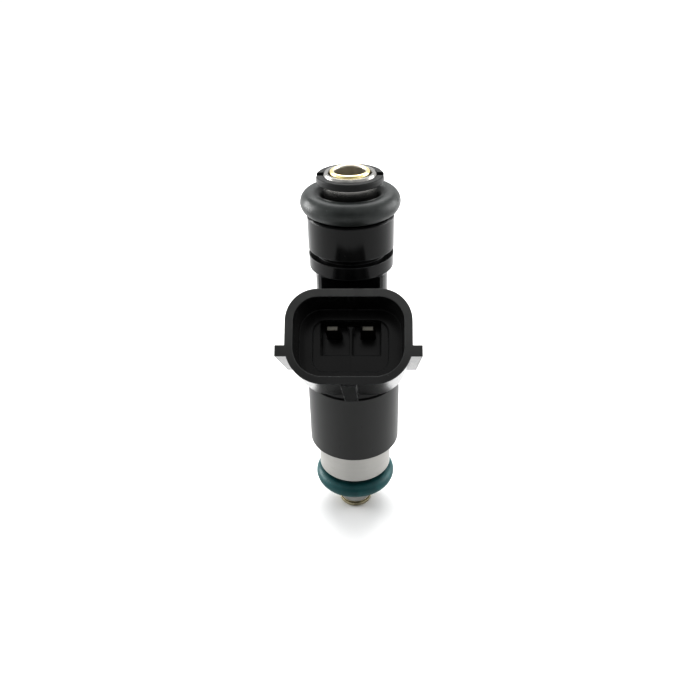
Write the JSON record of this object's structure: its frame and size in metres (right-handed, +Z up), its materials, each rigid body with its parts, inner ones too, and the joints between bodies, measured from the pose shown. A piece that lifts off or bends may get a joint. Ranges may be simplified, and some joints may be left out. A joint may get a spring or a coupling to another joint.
{
  "type": "fuel injector",
  "caption": "Top-feed solenoid fuel injector with a ball valve, two O-ring seals, a black coil can and an angled shrouded electrical connector.",
  "frame": {"origin": "centre of the spray tip's end face, on the injector's axis", "axes": "+Z up the fuel path from the spray tip to the fuel inlet; the connector leans out towards -Y; +X to the right when looking into the connector"},
  "size_m": [0.0198, 0.0288, 0.0627],
  "materials": {
    "tip_brass": "dull brown-brass plating",
    "steel_bright": "fine turned",
    "steel_polished": "polished",
    "core_iron": "bare soft iron",
    "steel_satin": "matte stainless",
    "retainer_plastic": "satin moulded",
    "seal_teal": "satin rubber",
    "can_black": "satin black coating",
    "bobbin_plastic": "natural nylon",
    "copper_wire": "enamelled copper",
    "spring_steel": "drawn wire",
    "brass_bright": "bright turned brass",
    "filter_plastic": "natural nylon",
    "mesh_steel": "woven wire",
    "seal_grey": "satin rubber",
    "terminal_tin": "tin plated",
    "housing_plastic": "moulded satin gloss"
  },
  "bodies": {
    "injector": {"nozzle_cap": "tip_brass", "orifice_plate": "steel_bright", "valve_seat": "steel_bright", "ball_guide": "steel_bright", "valve_body": "steel_satin", "lower_retainer": "retainer_plastic", "lower_o_ring": "seal_teal", "coil_can": "can_black", "coil_bobbin": "bobbin_plastic", "coil_winding": "copper_wire", "yoke_cover": "core_iron", "inlet_tube": "steel_bright", "fixed_core": "core_iron", "return_spring": "spring_steel", "adjusting_sleeve": "steel_bright", "filter_collar": "brass_bright", "filter_frame": "filter_plastic", "filter_mesh": "mesh_steel", "upper_o_ring": "seal_grey", "upper_retainer": "retainer_plastic", "terminal_left": "terminal_tin", "terminal_right": "terminal_tin", "housing": "housing_plastic"},
    "plunger": {"armature": "core_iron", "needle_tube": "steel_bright", "valve_ball": "steel_polished"}
  },
  "joints": [
    {"name": "needle_lift", "type": "slide", "parent": "injector", "child": "plunger", "axis": [0, 0, 1], "range_m": [0, 0.00009], "stiffness_N_per_m": 200, "springref_m": -0.005, "deforming": ["return_spring"]}
  ]
}
